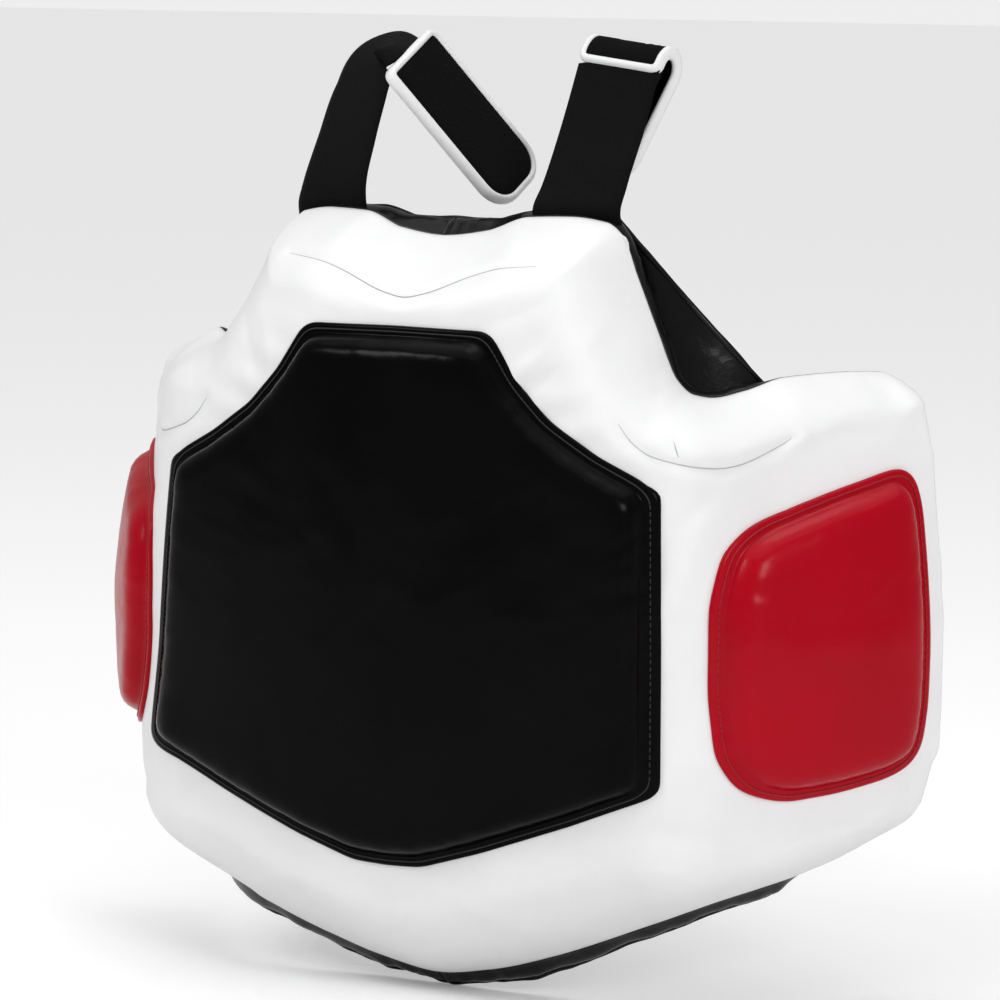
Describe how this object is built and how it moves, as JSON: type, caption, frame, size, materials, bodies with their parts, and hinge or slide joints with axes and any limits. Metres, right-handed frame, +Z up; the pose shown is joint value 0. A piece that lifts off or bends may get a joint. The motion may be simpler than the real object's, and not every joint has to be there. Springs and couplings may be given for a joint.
{
  "type": "chest protector",
  "caption": "Padded coach's chest protector with a raised front target, folding side wings with raised targets, shoulder straps with fastening tails and elastic back belts.",
  "frame": {"origin": "middle of the chest on the liner's inner face, where the wearer's chest rests", "axes": "+X to the wearer's left, +Y back through the wearer, +Z up"},
  "size_m": [0.6132, 0.3858, 0.6472],
  "materials": {
    "white_shell": "smooth, soft sheen",
    "black_pad": "smooth, glossy",
    "red_pad": "smooth, semi-gloss",
    "black_liner": "glossy, wrinkled",
    "foam": "closed-cell foam",
    "webbing": "ribbed weave",
    "elastic": "ribbed elastic",
    "loop_face": "brushed pile",
    "hook_face": "fine hooks",
    "white_piping": "smooth"
  },
  "bodies": {
    "front": {"front_base_foam": "foam", "front_cover": "white_shell", "front_hem_wall": "black_liner", "front_liner": "black_liner", "front_target_cover": "black_pad", "front_target_foam": "foam", "front_top_foam": "foam", "left_armhole_wall": "black_liner", "left_strap_root": "webbing", "neck_wall": "black_liner", "right_armhole_wall": "black_liner", "right_strap_root": "webbing"},
    "left_wing": {"left_wing_base_foam": "foam", "left_wing_cover": "white_shell", "left_wing_end_wall": "black_liner", "left_wing_hem_wall": "black_liner", "left_wing_liner": "black_liner", "left_wing_target_cover": "red_pad", "left_wing_target_foam": "foam", "left_wing_top_foam": "foam", "left_wing_top_wall": "black_liner"},
    "right_wing": {"right_wing_base_foam": "foam", "right_wing_cover": "white_shell", "right_wing_end_wall": "black_liner", "right_wing_hem_wall": "black_liner", "right_wing_liner": "black_liner", "right_wing_target_cover": "red_pad", "right_wing_target_foam": "foam", "right_wing_top_foam": "foam", "right_wing_top_wall": "black_liner"},
    "left_strap": {"left_strap": "webbing"},
    "right_strap": {"right_strap": "webbing"},
    "left_tail": {"left_tail_bend": "loop_face", "left_tail_core": "foam", "left_tail_hook_patch": "hook_face", "left_tail_loop_face": "loop_face", "left_tail_piping": "white_piping"},
    "right_tail": {"right_tail_core": "foam", "right_tail_hook_patch": "hook_face", "right_tail_loop_face": "loop_face", "right_tail_piping": "white_piping"},
    "left_belt": {"left_belt": "elastic", "left_belt_hook_patch": "hook_face"},
    "right_belt": {"right_belt": "elastic", "right_belt_loop_patch": "loop_face"}
  },
  "joints": [
    {"name": "left_wing_fold", "type": "hinge", "parent": "front", "child": "left_wing", "pos_m": [0.19394, 0.01684, -0.069], "axis": [0, 0, 1], "range_deg": [-10, 12], "stiffness_Nm_per_rad": 1.5},
    {"name": "left_belt_swing", "type": "hinge", "parent": "left_wing", "child": "left_belt", "pos_m": [0.27041, 0.15032, -0.07], "axis": [0, 0, 1], "range_deg": [-40, 20], "stiffness_Nm_per_rad": 0.05},
    {"name": "right_wing_fold", "type": "hinge", "parent": "front", "child": "right_wing", "pos_m": [-0.19394, 0.01684, -0.069], "axis": [0, 0, -1], "range_deg": [-10, 12], "stiffness_Nm_per_rad": 1.5},
    {"name": "right_belt_swing", "type": "hinge", "parent": "right_wing", "child": "right_belt", "pos_m": [-0.27041, 0.15032, -0.07], "axis": [0, 0, -1], "range_deg": [-40, 20], "stiffness_Nm_per_rad": 0.05},
    {"name": "left_strap_lean", "type": "hinge", "parent": "front", "child": "left_strap", "pos_m": [0.092, 0.01742, 0.19756], "axis": [-1, 0, 0], "range_deg": [-25, 35]},
    {"name": "right_strap_lean", "type": "hinge", "parent": "front", "child": "right_strap", "pos_m": [-0.09717, 0.01769, 0.19775], "axis": [-0.9817, 0.1903, 0], "range_deg": [-25, 35]},
    {"name": "left_tail_lift", "type": "hinge", "parent": "left_strap", "child": "left_tail", "pos_m": [0.092, 0.073, 0.288], "axis": [1, 0, 0], "range_deg": [-5, 60]},
    {"name": "right_tail_lift", "type": "hinge", "parent": "right_strap", "child": "right_tail", "pos_m": [-0.058, 0.051, 0.293], "axis": [-0.0371, -0.8763, -0.4803], "range_deg": [-15, 25]}
  ]
}
